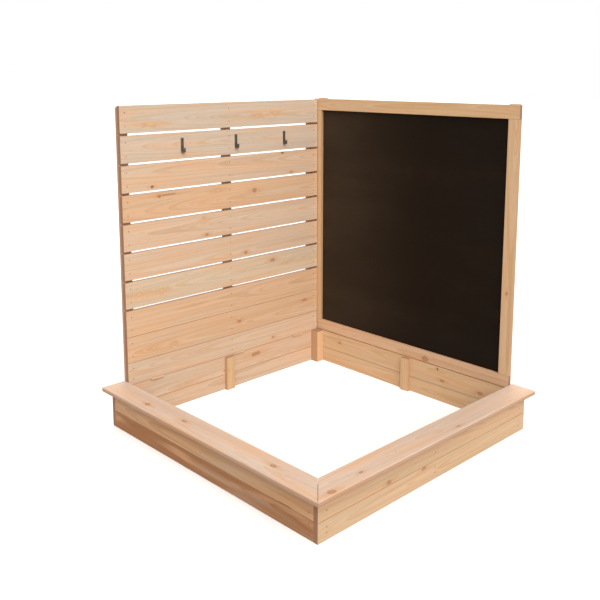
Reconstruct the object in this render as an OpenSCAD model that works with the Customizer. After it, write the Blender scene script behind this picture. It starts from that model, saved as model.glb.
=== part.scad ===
// Children's sand box with two corner benches, a slatted wall that folds down as the cover,
// and a fixed chalkboard wall.
//
// Directions: X runs from the slatted wall to the right bench, Y from the front bench to the
// chalkboard wall, Z up. The modules are drawn from the box's outer left front corner, and
// place() moves them so that the middle of the footprint stands at the origin.

/* [Box] */
// Outer length of each side of the box
side = 1200; // [900:10:1600]
// Thickness of the side boards
board_t = 18; // [15:0.5:24]
// Width of the lower side boards
lower_w = 70; // [50:1:120]
// Width of the upper side boards
upper_w = 86; // [60:1:120]
// Seam between the lower and the upper side boards
board_seam = 1; // [0.5:0.5:3]
// Width of the square corner posts
post_w = 44; // [34:1:60]
// Width of the battens in the middle of the sides
side_batten_w = 44; // [30:1:70]
// Thickness of the battens in the middle of the sides
side_batten_t = 18; // [12:0.5:24]
// How far the middle battens stop below the top edge
side_batten_drop = 3; // [1:0.5:10]

/* [Benches] */
// Width of the bench boards
bench_w = 107; // [90:1:160]
// Thickness of the bench boards
bench_t = 18; // [15:0.5:28]
// How far the bench boards reach outside the box
bench_out = 43; // [20:1:60]
// How far the open ends of the benches reach past the box
bench_end = 6; // [0:1:15]
// Radius of the rounded outer bench edges
bench_round = 5; // [2:0.5:7]
// Gap in the mitre between the two benches
mitre_gap = 0.6; // [0.2:0.1:2]

/* [Slatted cover] */
// Width of the cover's slats
slat_w = 111; // [90:1:140]
// Width of the trimmed bottom slat
bottom_slat_w = 94; // [70:1:140]
// Thickness of the slats
slat_t = 18; // [15:0.5:24]
// Gap between the upper slats
slat_gap = 9.5; // [4:0.5:15]
// Gap in the two lowest seams
tight_gap = 1; // [0.5:0.5:3]
// Gap between the cover and the box's top edge, where the hinge leaves lie
cover_seam = 1; // [0.8:0.1:2]
// Gap between the cover's ends and the front bench and chalkboard wall
cover_end_gap = 4; // [2:0.5:10]
// Width of the cover's back battens
cover_batten_w = 44; // [30:1:70]
// Thickness of the cover's back battens
cover_batten_t = 18; // [12:0.5:24]
// How far the outer back battens stand in from the cover's ends
cover_batten_inset = 3; // [0:1:40]
// How far the back battens stop short of the cover's top and bottom
cover_batten_short = 6; // [2:1:20]

/* [Chalkboard wall] */
// Height of the chalkboard frame
chalk_h = 1163; // [900:1:1400]
// Thickness of the frame
chalk_t = 18; // [15:0.5:24]
// How far the frame reaches outside the box, behind the cover's ends
chalk_reach = 9; // [0:1:15]
// Width of the top rail
top_rail_w = 55; // [40:1:90]
// Width of the bottom rail
bottom_rail_w = 50; // [40:1:90]
// Width of the upright stiles
stile_w = 50; // [44:1:90]
// Thickness of the writing panel
panel_t = 4; // [3:0.5:8]
// How far the panel reaches into the frame's rebate
panel_bite = 10; // [6:0.5:10]
// Clearance around the panel in its rebate
panel_fit = 0.5; // [0.3:0.1:2]
// Gap between the frame and the box's top edge
chalk_seam = 3; // [1:0.5:6]
// Width of the posts that carry the chalkboard
wall_post_w = 44; // [34:1:60]
// Thickness of the posts that carry the chalkboard
wall_post_t = 18; // [15:0.5:30]
// How far the posts stand in from the chalkboard's ends
wall_post_inset = 15; // [5:1:25]
// How far the posts reach above the chalkboard
wall_post_peek = 3; // [0:1:20]
// Gap between the posts and the ground
wall_post_foot = 10; // [0:1:30]
// Diameter of the dowels in the frame's corners
dowel_d = 8; // [6:0.5:10]
// Length of the dowels
dowel_l = 50; // [30:1:60]

/* [Hinges] */
// Length of each hinge
hinge_l = 60; // [48:1:80]
// Width of a hinge leaf on the wood
leaf_w = 15; // [12:0.5:16]
// Thickness of a hinge leaf
leaf_t = 1.2; // [1:0.1:1.6]
// Radius of the hinge knuckles
knuckle_r = 3.5; // [3:0.1:5]
// Radius of the hinge pins
pin_r = 1.5; // [1:0.1:2]
// Radial clearance of the pins in the knuckles
pin_fit = 0.05; // [0.02:0.01:0.09]
// Clearance beside the knuckles, along the pin and to the wood
knuckle_fit = 0.3; // [0.3:0.1:1]
// How far the outer hinges stand in from the cover's ends
hinge_inset = 110; // [60:5:200]

/* [Hooks] */
// Width of the hook strips
hook_w = 14; // [10:1:24]
// Height of the straight part on the slat
hook_plate_h = 54; // [40:1:70]
// Thickness of the hook strips
hook_t = 2; // [1.5:0.1:3]
// Outer radius of the hooks' bend
hook_r = 8; // [8:0.5:20]
// Height of the hooks' upturned tip
hook_tip_h = 10; // [6:1:24]
// Distance from hook to hook
hook_pitch = 293; // [150:1:350]
// How far the middle hook stands from the cover's middle, towards the chalkboard
hook_shift = 38; // [-60:1:60]

/* [Fasteners] */
// Shank diameter of the nails
nail_d = 2.5; // [2:0.1:4]
// Head diameter of the nails
nail_head_d = 5; // [4:0.1:9]
// Shank diameter of the slim bench nails
brad_d = 2.2; // [1.5:0.1:3]
// Head diameter of the slim bench nails
brad_head_d = 3.2; // [2.5:0.1:5]
// Shank diameter of the wood screws
screw_d = 4; // [3:0.1:5]
// Head diameter of the wood screws
screw_head_d = 7.6; // [6:0.1:9]
// Shank diameter of the small screws in hinges and hooks
small_screw_d = 3; // [2.5:0.1:3.5]
// Head diameter of the small screws
small_head_d = 5.4; // [4.5:0.1:6.5]

/* [Hidden] */
$fn = 48;
SLATS = 10;
TIGHT_SEAMS = 2;
HOOKS = 3;
HINGES = 3;

// Colours
PINE = [0.86, 0.72, 0.55];
PINE_DARK = [0.80, 0.64, 0.46];
ZINC = [0.68, 0.69, 0.70];
STEEL_DARK = [0.35, 0.34, 0.33];
CHALK_BLACK = [0.09, 0.08, 0.075];

// The box
cut = 1;
box_h = lower_w + board_seam + upper_w;
inner_side = side - 2 * board_t;
far_in = side - board_t;
middle = side / 2;
bench_in = bench_w - bench_out;
bench_top = box_h + bench_t;

// The slatted cover stands on the left side, from the front bench to the chalkboard wall
cover_v0 = bench_in + cover_end_gap;
cover_v1 = side - chalk_t - cover_end_gap;
cover_l = cover_v1 - cover_v0;
cover_mid = (cover_v0 + cover_v1) / 2;
cover_z = box_h + cover_seam;
cover_front = max(board_t, slat_t);
cover_top = slat_z(SLATS - 1) + slat_w;

// The chalkboard stands on the back side, from the outer left face to the right bench
chalk_u0 = -chalk_reach;
chalk_u1 = side - bench_in - cover_end_gap;
chalk_l = chalk_u1 - chalk_u0;
chalk_v0 = side - chalk_t;
chalk_z = box_h + chalk_seam;
chalk_top = chalk_z + chalk_h;
panel_z0 = chalk_z + bottom_rail_w - panel_bite;
panel_h = chalk_h - bottom_rail_w - top_rail_w + 2 * panel_bite;
panel_u0 = chalk_u0 + stile_w - panel_bite;
panel_l = chalk_l - 2 * stile_w + 2 * panel_bite;
wall_post_u = [chalk_u0 + wall_post_inset, chalk_u1 - wall_post_inset - wall_post_w];

// The fold axis lies in the seam, just inside the two wooden faces
axis_u = cover_front + knuckle_r + knuckle_fit;
axis_z = box_h + cover_seam / 2;
knuckle_l = (hinge_l - 2 * knuckle_fit) / 3;
leaf_u0 = cover_front - leaf_w;
leaf_fit = 0.2;
leaf_screws = [hinge_l / 6, hinge_l / 2, hinge_l * 5 / 6];
beside_batten = middle + side_batten_w / 2 + 8;
hinge_v = [cover_v0 + hinge_inset, beside_batten, cover_v1 - hinge_inset - hinge_l];

// Fastener lengths
post_nail_l = board_t + post_w / 2;
batten_nail_l = board_t + side_batten_t * 0.8;
slat_nail_l = slat_t + cover_batten_t * 0.8;
brad_l = 45;
hinge_screw_l = 20;
hook_screw_l = slat_t * 0.8;
wall_screw_l = wall_post_t + min(board_t, chalk_t) * 0.8;
nail_head_h = 1;
pan_head_h = 1.5;

// Overall box, which sets the origin
x_min = -max(cover_batten_t + slat_t - cover_front, bench_end, chalk_reach);
x_max = side + bench_out;
y_min = -bench_out;
y_max = side + max(wall_post_t, bench_end);

// Bottom edge of a slat, counted upwards from the bottom slat, which is number 0
function slat_z(n) = cover_z + (n > 0 ? bottom_slat_w + (n - 1) * slat_w : 0)
    + min(n, TIGHT_SEAMS) * tight_gap + max(n - TIGHT_SEAMS, 0) * slat_gap;
function slat_width(n) = n == 0 ? bottom_slat_w : slat_w;

module place() {
    translate([-(x_min + x_max) / 2, -(y_min + y_max) / 2, 0]) children();
}

// Turns something drawn along -Z, with its face up, so that its face looks along a side
module facing(way) {
    turn = way == "front" ? [90, 0, 0]
        : way == "back" ? [-90, 0, 0]
        : way == "left" ? [0, -90, 0]
        : way == "right" ? [0, 90, 0]
        : way == "down" ? [180, 0, 0]
        : [0, 0, 0];
    rotate(turn) children();
}

// A nail with its head let in flush, pointing down
module nail(l, d = nail_d, head = nail_head_d) {
    translate([0, 0, -nail_head_h]) cylinder(h = nail_head_h, d = head);
    translate([0, 0, -l]) cylinder(h = l - nail_head_h / 2, d = d);
}

// A countersunk screw with its head flush, pointing down
module screw(l, d, head) {
    head_h = (head - d) / 2;
    translate([0, 0, -head_h]) cylinder(h = head_h, d1 = d, d2 = head);
    translate([0, 0, -l]) cylinder(h = l - head_h / 2, d = d);
}

// The four sides of the box: each has a lower and an upper board
module board_row(level) {
    z = level == "lower" ? 0 : lower_w + board_seam;
    translate([0, 0, z]) children();
}

function level_w(level) = level == "lower" ? lower_w : upper_w;

// Left and right boards run the full length and cover the ends of the other two
module long_board(u, level) {
    board_row(level) translate([u, 0, 0]) cube([board_t, side, level_w(level)]);
}

module short_board(v, level) {
    board_row(level) translate([board_t, v, 0]) cube([inner_side, board_t, level_w(level)]);
}

module left_board_lower() {
    color(PINE) long_board(0, "lower");
}

// The upper left board has a shallow pocket for each hinge leaf in its top edge
module left_board_upper() {
    color(PINE) difference() {
        long_board(0, "upper");
        for (v = hinge_v) leaf_pocket(v, box_h - leaf_t);
    }
}

module right_board(level) {
    color(PINE) long_board(far_in, level);
}

module front_board(level) {
    color(PINE_DARK) short_board(0, level);
}

module back_board(level) {
    color(PINE) short_board(far_in, level);
}

module post(u, v) {
    color(PINE) translate([u, v, 0]) cube([post_w, post_w, box_h]);
}

// A middle batten, given the corner nearest the origin and its size across
module side_batten(u, v, size_u, size_v) {
    color(PINE) translate([u, v, 0]) cube([size_u, size_v, box_h - side_batten_drop]);
}

// A bench board's section across its width, with the outer edge on the left
module bench_section() {
    translate([bench_round, 0]) square([bench_w - bench_round, bench_t]);
    translate([0, bench_round]) square([bench_w, bench_t - 2 * bench_round]);
    for (y = [bench_round, bench_t - bench_round]) translate([bench_round, y]) circle(r = bench_round);
}

// Cuts away what lies past the mitre line, seen from the bench that is kept
module past_mitre(keep) {
    turn = keep == "front" ? 45 : 225;
    translate([side + bench_out, -bench_out, box_h - cut])
        rotate([0, 0, turn])
            translate([-mitre_gap / 2, -2 * bench_w, 0])
                cube([2 * bench_w, 4 * bench_w, bench_t + 2 * cut]);
}

module bench_front() {
    length = side + bench_end + bench_out;
    color(PINE) difference() {
        translate([-bench_end, -bench_out, box_h])
            rotate([90, 0, 90]) linear_extrude(length) bench_section();
        past_mitre("front");
    }
}

module bench_right() {
    length = side + bench_end + bench_out;
    color(PINE) difference() {
        translate([side + bench_out, -bench_out + length, box_h])
            rotate([90, 0, 0]) linear_extrude(length) mirror([1, 0]) bench_section();
        past_mitre("right");
    }
}

// Two nails through each board, at each corner post and at the middle batten
module side_nails(low, high) {
    for (level = ["lower", "upper"]) {
        z0 = level == "lower" ? 0 : lower_w + board_seam;
        for (share = [low, high]) {
            z = z0 + level_w(level) * share;
            translate([board_t + post_w / 2, 0, z]) facing("front") nail(post_nail_l);
            translate([middle, 0, z]) facing("front") nail(batten_nail_l);
            translate([side - board_t - post_w / 2, 0, z]) facing("front") nail(post_nail_l);
        }
    }
}

module box_nails() {
    color(STEEL_DARK) {
        side_nails(0.24, 0.76);
        translate([side, side, 0]) rotate(180) side_nails(0.24, 0.76);
        translate([side, 0, 0]) rotate(90) side_nails(0.36, 0.64);
        translate([0, side, 0]) rotate(-90) side_nails(0.36, 0.64);
    }
}

// Slim nails down through the benches into the top edges of the side boards
module bench_nails() {
    color(STEEL_DARK) for (share = [0.12, 0.32, 0.66, 0.88]) {
        translate([side * share, board_t / 2, bench_top]) nail(brad_l, brad_d, brad_head_d);
        translate([side - board_t / 2, side * share, bench_top]) nail(brad_l, brad_d, brad_head_d);
    }
}

// A slat of the cover, counted upwards
module slat(n) {
    color(PINE) difference() {
        translate([cover_front - slat_t, cover_v0, slat_z(n)])
            cube([slat_t, cover_l, slat_width(n)]);
        if (n == 0) {
            for (v = hinge_v) leaf_pocket(v, cover_z - cut);
        }
    }
}

function cover_batten_v(which) = which == "front" ? cover_v0 + cover_batten_inset
    : which == "middle" ? cover_mid - cover_batten_w / 2
    : cover_v1 - cover_batten_inset - cover_batten_w;

module cover_batten(which) {
    u = cover_front - slat_t - cover_batten_t;
    z = cover_z + cover_batten_short;
    color(PINE) translate([u, cover_batten_v(which), z])
        cube([cover_batten_t, cover_batten_w, cover_top - cover_batten_short - z]);
}

module slat_nails() {
    color(STEEL_DARK) for (n = [0:SLATS - 1], which = ["front", "middle", "back"], share = [0.25, 0.75]) {
        v = cover_batten_v(which) + cover_batten_w / 2;
        translate([cover_front, v, slat_z(n) + slat_width(n) * share]) facing("right") nail(slat_nail_l);
    }
}

// Hooks sit across the middle of the second slat from the top
hook_z = slat_z(SLATS - 2) + slat_w * 0.52 - hook_plate_h / 2 + hook_r / 2;
function hook_v(i) = cover_mid + hook_shift + (i - 2) * hook_pitch;
hook_screw_z = [hook_plate_h * 0.3, hook_plate_h * 0.85];

// A hook strip seen from the side: straight up the slat, round the bend and up to the tip
module hook_outline() {
    square([hook_t, hook_plate_h]);
    translate([2 * hook_r - hook_t, 0]) square([hook_t, hook_tip_h]);
    translate([2 * hook_r - hook_t / 2, hook_tip_h]) circle(r = hook_t * 0.9);
    intersection() {
        translate([hook_r, 0]) difference() {
            circle(r = hook_r);
            circle(r = hook_r - hook_t);
        }
        translate([0, -hook_r]) square([2 * hook_r, hook_r]);
    }
}

module hook(i) {
    color(ZINC) difference() {
        translate([cover_front, hook_v(i), hook_z])
            rotate([90, 0, 0]) linear_extrude(hook_w, center = true) hook_outline();
        for (z = hook_screw_z) {
            translate([cover_front - cut, hook_v(i), hook_z + z])
                rotate([0, 90, 0]) cylinder(h = hook_t + 2 * cut, d = small_screw_d + 0.5);
        }
    }
}

module hook_screws() {
    color(STEEL_DARK) for (i = [1:HOOKS], z = hook_screw_z) {
        translate([cover_front + hook_t, hook_v(i), hook_z + z]) facing("right") {
            cylinder(h = pan_head_h, d = small_head_d);
            translate([0, 0, -hook_screw_l]) cylinder(h = hook_screw_l + pan_head_h / 2, d = small_screw_d);
        }
    }
}

// The pocket for one leaf, open towards the seam and the inner face
module leaf_pocket(v, z) {
    translate([leaf_u0 - leaf_fit, v - leaf_fit, z])
        cube([leaf_w + leaf_fit + cut, hinge_l + 2 * leaf_fit, leaf_t + cut]);
}

module knuckle(v, number) {
    start = v + number * (knuckle_l + knuckle_fit);
    translate([axis_u, start + knuckle_l, axis_z]) rotate([90, 0, 0]) cylinder(h = knuckle_l, r = knuckle_r);
}

// The strip that leads from the leaf to one of its knuckles
module knuckle_arm(v, number, z) {
    start = v + number * (knuckle_l + knuckle_fit);
    translate([cover_front - cut, start, z]) cube([axis_u - cover_front + cut, knuckle_l, leaf_t]);
}

module pin_bore(v) {
    translate([axis_u, v + hinge_l + cut, axis_z]) rotate([90, 0, 0])
        cylinder(h = hinge_l + 2 * cut, r = pin_r + pin_fit);
}

// A leaf with its own knuckles: numbers 0 and 2 on the box, number 1 on the cover
module hinge_leaf(v, z, numbers, face) {
    head_h = (small_head_d - small_screw_d) / 2;
    color(ZINC) difference() {
        union() {
            translate([leaf_u0, v, z]) cube([leaf_w, hinge_l, leaf_t]);
            for (number = numbers) {
                knuckle(v, number);
                knuckle_arm(v, number, z);
            }
        }
        pin_bore(v);
        for (s = leaf_screws) translate([leaf_u0 + leaf_w / 2, v + s, face == "up" ? z + leaf_t : z])
            facing(face) screw(2 * leaf_t + cut, small_screw_d + 0.2, small_head_d + 0.2);
    }
}

module hinge_leaf_box(i) {
    hinge_leaf(hinge_v[i - 1], box_h - leaf_t, [0, 2], "up");
}

module hinge_leaf_cover(i) {
    hinge_leaf(hinge_v[i - 1], cover_z, [1], "down");
}

// The pin has a small head at each end
module hinge_pin(i) {
    v = hinge_v[i - 1];
    head_h = 1.2;
    head_gap = 0.1;
    over = head_gap + head_h;
    color(STEEL_DARK) translate([axis_u, v + hinge_l + over, axis_z]) rotate([90, 0, 0]) {
        cylinder(h = hinge_l + 2 * over, r = pin_r);
        cylinder(h = head_h, r = pin_r * 1.6);
        translate([0, 0, hinge_l + 2 * over - head_h]) cylinder(h = head_h, r = pin_r * 1.6);
    }
}

module hinge_screws(z, face) {
    color(STEEL_DARK) for (v = hinge_v, s = leaf_screws) {
        translate([leaf_u0 + leaf_w / 2, v + s, z]) facing(face)
            screw(hinge_screw_l, small_screw_d, small_head_d);
    }
}

// The rebate in the back of the frame, larger than the panel by its clearance
module panel_rebate() {
    translate([panel_u0 - panel_fit, side - panel_t, panel_z0 - panel_fit])
        cube([panel_l + 2 * panel_fit, panel_t + cut, panel_h + 2 * panel_fit]);
}

module chalk_rail(z, width) {
    color(PINE) difference() {
        translate([chalk_u0, chalk_v0, z]) cube([chalk_l, chalk_t, width]);
        panel_rebate();
    }
}

module chalk_stile(u) {
    color(PINE) difference() {
        translate([u, chalk_v0, chalk_z + bottom_rail_w])
            cube([stile_w, chalk_t, chalk_h - bottom_rail_w - top_rail_w]);
        panel_rebate();
    }
}

module chalk_panel() {
    color(CHALK_BLACK) translate([panel_u0, side - panel_t, panel_z0]) cube([panel_l, panel_t, panel_h]);
}

// Two dowels in each corner of the frame, clear of the rebate
module frame_dowels() {
    v = chalk_v0 + (chalk_t - panel_t) / 2;
    outer = stile_w * 0.24;
    inner = stile_w * 0.52;
    color(PINE_DARK) for (z = [chalk_z + bottom_rail_w, chalk_top - top_rail_w]) {
        for (u = [chalk_u0 + outer, chalk_u0 + inner, chalk_u1 - inner, chalk_u1 - outer]) {
            translate([u, v, z - dowel_l / 2]) cylinder(h = dowel_l, d = dowel_d);
        }
    }
}

module wall_post(u) {
    color(PINE) translate([u, side, wall_post_foot])
        cube([wall_post_w, wall_post_t, chalk_top + wall_post_peek - wall_post_foot]);
}

// Screws from behind, into the side boards, the rails and the stiles
module wall_post_screws() {
    span = chalk_h - bottom_rail_w - top_rail_w;
    stile_z = chalk_z + bottom_rail_w;
    levels = [
        lower_w / 2,
        lower_w + board_seam + upper_w / 2,
        chalk_z + bottom_rail_w / 2,
        stile_z + span * 0.2,
        stile_z + span * 0.5,
        stile_z + span * 0.8,
        chalk_top - top_rail_w / 2
    ];
    outer_u = [chalk_u0 + stile_w * 0.75, chalk_u1 - stile_w * 0.75];
    color(STEEL_DARK) for (u = outer_u, z = levels) {
        translate([u, side + wall_post_t, z]) facing("back") screw(wall_screw_l, screw_d, screw_head_d);
    }
}

place() {
    left_board_lower();
    left_board_upper();
    right_board("lower");  // right_board_lower
    right_board("upper");  // right_board_upper
    front_board("lower");  // front_board_lower
    front_board("upper");  // front_board_upper
    back_board("lower");  // back_board_lower
    back_board("upper");  // back_board_upper
    post(board_t, board_t);  // post_front_left
    post(far_in - post_w, board_t);  // post_front_right
    post(board_t, far_in - post_w);  // post_back_left
    post(far_in - post_w, far_in - post_w);  // post_back_right
    side_batten(board_t, middle - side_batten_w / 2, side_batten_t, side_batten_w);  // side_batten_left
    side_batten(far_in - side_batten_t, middle - side_batten_w / 2, side_batten_t, side_batten_w);  // side_batten_right
    side_batten(middle - side_batten_w / 2, board_t, side_batten_w, side_batten_t);  // side_batten_front
    side_batten(middle - side_batten_w / 2, far_in - side_batten_t, side_batten_w, side_batten_t);  // side_batten_back
    bench_front();
    bench_right();
    box_nails();
    bench_nails();
    for (i = [1:SLATS]) slat(SLATS - i);
    cover_batten("front");  // cover_batten_front
    cover_batten("middle");  // cover_batten_middle
    cover_batten("back");  // cover_batten_back
    slat_nails();
    for (i = [1:HOOKS]) hook(i);
    hook_screws();
    for (i = [1:HINGES]) hinge_leaf_box(i);
    for (i = [1:HINGES]) hinge_leaf_cover(i);
    for (i = [1:HINGES]) hinge_pin(i);
    hinge_screws(box_h, "up");  // hinge_screws_box
    hinge_screws(cover_z, "down");  // hinge_screws_cover
    chalk_rail(chalk_top - top_rail_w, top_rail_w);  // chalk_rail_top
    chalk_rail(chalk_z, bottom_rail_w);  // chalk_rail_bottom
    chalk_stile(chalk_u0);  // chalk_stile_left
    chalk_stile(chalk_u1 - stile_w);  // chalk_stile_right
    chalk_panel();
    frame_dowels();
    wall_post(wall_post_u[0]);  // wall_post_left
    wall_post(wall_post_u[1]);  // wall_post_right
    wall_post_screws();
}
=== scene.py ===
import math

import bmesh
import bpy
from bpy.props import FloatProperty, FloatVectorProperty, PointerProperty
from mathutils import Matrix, Vector, noise


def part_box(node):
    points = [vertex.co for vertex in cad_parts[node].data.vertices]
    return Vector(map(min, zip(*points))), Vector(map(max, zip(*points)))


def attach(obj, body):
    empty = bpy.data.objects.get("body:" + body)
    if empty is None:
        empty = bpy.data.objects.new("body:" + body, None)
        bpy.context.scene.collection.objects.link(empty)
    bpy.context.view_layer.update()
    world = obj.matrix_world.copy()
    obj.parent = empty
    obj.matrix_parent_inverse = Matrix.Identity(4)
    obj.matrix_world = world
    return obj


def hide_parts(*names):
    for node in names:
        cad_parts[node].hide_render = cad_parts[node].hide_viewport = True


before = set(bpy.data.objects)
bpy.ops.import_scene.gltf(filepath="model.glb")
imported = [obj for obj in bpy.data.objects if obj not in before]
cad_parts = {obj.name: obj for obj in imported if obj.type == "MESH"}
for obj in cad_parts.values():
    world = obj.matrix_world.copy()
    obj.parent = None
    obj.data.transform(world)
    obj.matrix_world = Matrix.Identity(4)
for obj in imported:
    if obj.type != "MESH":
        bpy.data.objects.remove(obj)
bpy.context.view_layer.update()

bl_info = {
    "name": "Sandbox with cover",
    "version": (1, 0, 0),
    "blender": (4, 5, 0),
    "location": "View3D > Sidebar > Sandbox",
    "description": "Dresses the packed sandbox frame in pine boards, hardware and a chalkboard",
    "category": "Add Mesh",
}

AXES = {
    "+x": Vector((1, 0, 0)),
    "-x": Vector((-1, 0, 0)),
    "+y": Vector((0, 1, 0)),
    "-y": Vector((0, -1, 0)),
    "+z": Vector((0, 0, 1)),
}
MM = 0.001
HINGE_NUMBERS = (1, 2, 3)
HOOK_NUMBERS = (1, 2, 3)

# Edges that turn by more than this stay sharp in the shading
SHARP_ANGLE = math.radians(40)
# Edges that turn by more than this are bevelled on the hooks and hinges
BEVEL_ANGLE = math.radians(50)
# Rows of an eased board end, in arris radii: how far in from the faces, how far back from the end
EASED_END = ((1.0, 0.0), (0.45, 0.2), (0.12, 0.55), (0.0, 1.0))
# Steps round each corner of a board's section, and the smallest radius that a corner keeps
ROUND_STEPS = 4
LEAST_ROUND = 0.15 * MM
# How far a mitred end stands back from the diagonal, and how far short of the mitre the last cut is
MITRE_ROOM = 0.42 * MM
MITRE_RUN = 25 * MM
# Faces round a nail or screw
LATHE_SIDES = 20
# Points of a CAD mesh nearer than this are one point
WELD = 0.005 * MM

# Pine tones: the pale spring wood and the summer wood of the growth rings
TONES = {
    "cream": ((0.625, 0.495, 0.385), (0.54, 0.36, 0.205)),
    "straw": ((0.675, 0.515, 0.365), (0.57, 0.37, 0.19)),
    "honey": ((0.69, 0.49, 0.345), (0.56, 0.33, 0.175)),
    "orange": ((0.70, 0.455, 0.285), (0.59, 0.31, 0.14)),
    "rose": ((0.65, 0.485, 0.38), (0.58, 0.35, 0.205)),
    "amber": ((0.69, 0.45, 0.245), (0.57, 0.31, 0.125)),
    "wheat": ((0.70, 0.47, 0.275), (0.59, 0.34, 0.145)),
    "sand": ((0.65, 0.452, 0.28), (0.54, 0.315, 0.15)),
    # The brown tone and the darkest tone below it are made darker than the wood, to paint the shade on the
    # front boards under the bench overhang
    "brown": ((0.68, 0.395, 0.21), (0.50, 0.25, 0.105)),
    "umber_shade": ((0.41, 0.187, 0.08), (0.29, 0.12, 0.042)),
}
# Knot kinds: the colour of the heart, and how strong the heart, its outline and its halo are
KNOTS = {
    "dark": ((0.20, 0.095, 0.05), 0.85, 0.80, 0.50),
    "red": ((0.43, 0.17, 0.09), 0.75, 0.45, 0.50),
    "pale": ((0.66, 0.39, 0.18), 0.60, 0.12, 0.38),
}
# How quickly each marking changes along, across and through a board, in turns per metre
GRAIN = {
    "sway": (1.1, 4.0, 4.0),
    "fibre": (14.0, 900.0, 900.0),
    "streak": (1.6, 75.0, 75.0),
    "tick": (30.0, 620.0, 620.0),
    "patch": (2.4, 26.0, 26.0),
    "cool": (1.7, 17.0, 17.0),
}
# Lights: azimuth and elevation in degrees from the object, and tint
LIGHTS = {
    "key_right": (60, 41, (1.0, 0.985, 0.96)),
    "fill_front": (20, 62, (1.0, 0.99, 0.975)),
    "back_light": (225, 30, (1.0, 0.99, 0.98)),
}
# Direction of the room's brighter side
BRIGHT_SIDE = (0.8, 0.1, 0.59)


class Plan:
    """How one board lies and grew: its long axis, its show face, tone, rings and knots.

    pith is the heart's place across and below the board in mm, lean how it drifts in mm per metre,
    and ring the width of a growth ring in mm.
    A knot is (share along, share up the width, radius in mm, stretch along the grain, kind)."""

    def __init__(self, along, face, tone, seed, pith, lean, ring, knots=()):
        self.along = AXES[along]
        self.face = AXES[face]
        self.tone = tone
        self.seed = seed
        self.pith = pith
        self.lean = lean
        self.ring = ring
        self.knots = knots


BOX_BOARDS = {
    "left_board_lower": Plan("+y", "+x", "honey", 1, (8, -70), (1, 11), 4.2,
                             [(0.50, 0.5, 5, 1.5, "red")]),
    "left_board_upper": Plan("+y", "+x", "honey", 2, (-30, -44), (3, 16), 4.6,
                             [(0.486, 0.22, 4, 1.3, "dark"), (0.64, 0.62, 7, 3.4, "red")]),
    "right_board_lower": Plan("+y", "+x", "sand", 3, (0, -50), (2, 13), 4.4,
                              [(0.445, 0.9, 6, 1.6, "red")]),
    "right_board_upper": Plan("+y", "+x", "sand", 4, (12, -60), (-2, 12), 4.0,
                              [(0.285, 0.13, 6, 1.6, "red")]),
    # The front boards' darker tones paint the shade under the bench overhang, deepest on the lower board
    "front_board_lower": Plan("+x", "-y", "umber_shade", 5, (10, -80), (2, 9), 4.4),
    "front_board_upper": Plan("+x", "-y", "brown", 6, (-14, -52), (3, 14), 4.8,
                              [(0.62, 0.7, 4, 1.6, "red"), (0.885, 0.02, 1.7, 15.0, "dark")]),
    "back_board_lower": Plan("+x", "-y", "wheat", 7, (-6, -60), (2, 12), 4.0),
    "back_board_upper": Plan("+x", "-y", "wheat", 8, (16, -48), (-2, 15), 4.4,
                             [(0.135, 0.55, 5, 1.5, "red"), (0.65, 0.86, 5, 0.8, "dark"),
                              (0.672, 0.31, 5, 1.8, "red"), (0.842, 0.3, 6, 1.7, "red")]),
}
POSTS = {
    "post_front_left": Plan("+z", "+y", "straw", 11, (30, -30), (4, 12), 3.6),
    "post_front_right": Plan("+z", "+y", "straw", 12, (-34, -30), (4, 12), 3.6),
    "post_back_left": Plan("+z", "+x", "wheat", 13, (40, -34), (3, 10), 3.4),
    "post_back_right": Plan("+z", "-y", "honey", 14, (-40, -30), (3, 10), 3.4),
    "side_batten_left": Plan("+z", "+x", "amber", 15, (10, -60), (6, 30), 3.4),
    "side_batten_right": Plan("+z", "-x", "honey", 16, (-10, -60), (6, 30), 3.4),
    "side_batten_front": Plan("+z", "+y", "straw", 17, (20, -50), (6, 30), 3.4),
    "side_batten_back": Plan("+z", "-y", "wheat", 18, (-16, -70), (6, 26), 3.4),
}
BENCHES = {
    "bench_front": Plan("+x", "+z", "rose", 21, (-20, -58), (4, 15), 4.6,
                        [(0.218, 0.38, 7, 1.5, "red"), (0.40, 0.49, 6, 1.8, "red"),
                         (0.788, 0.56, 7, 1.6, "red")]),
    "bench_right": Plan("+y", "+z", "rose", 22, (14, -64), (-3, 13), 5.0,
                        [(0.061, 0.17, 9, 1.5, "red"), (0.188, 0.35, 5, 1.6, "red"),
                         (0.53, 0.43, 5, 1.5, "pale"), (0.60, 0.2, 5, 1.5, "red")]),
}
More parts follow.
